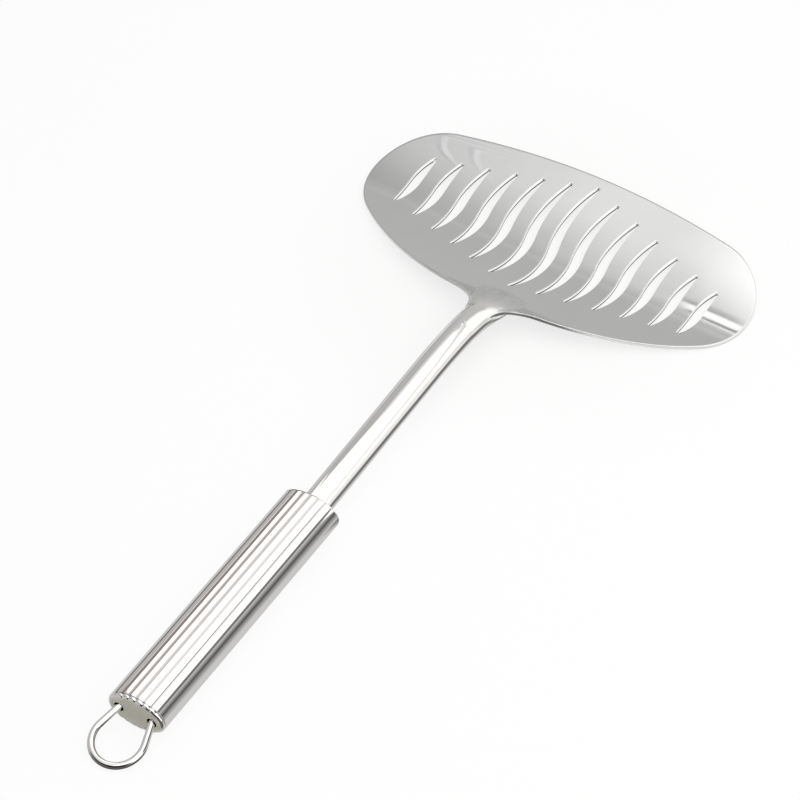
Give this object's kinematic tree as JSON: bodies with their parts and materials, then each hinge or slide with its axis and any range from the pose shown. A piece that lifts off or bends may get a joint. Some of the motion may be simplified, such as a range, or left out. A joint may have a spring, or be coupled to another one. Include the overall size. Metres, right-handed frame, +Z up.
{
  "type": "fish spatula",
  "caption": "All-steel fish spatula: wide boat-shaped blade pressed to a shallow trough with S-shaped drain slots, bent tube shank, reeded hollow handle and swinging wire hanging loop.",
  "frame": {"origin": "on the table, under the middle of the whole tool as it lies on the blade's belly and the handle's lower rear rim", "axes": "+Y along the tool from hanging loop to blade, +X to the right across the blade, +Z up, the blade's hollow side up"},
  "size_m": [0.181, 0.3678, 0.021],
  "materials": {
    "satin_steel": "fine satin stainless",
    "polished_steel": "mirror-polished stainless"
  },
  "bodies": {
    "tool": {"blade": "satin_steel", "shank": "polished_steel", "handle_sleeve": "polished_steel", "front_cap": "polished_steel", "end_cap": "satin_steel"},
    "loop": {"hanging_loop": "polished_steel"}
  },
  "joints": [
    {"name": "loop_swing", "type": "hinge", "parent": "tool", "child": "loop", "pos_m": [0, -0.16107, 0.00797], "axis": [1, 0, 0], "range_deg": [-42, 11]}
  ]
}
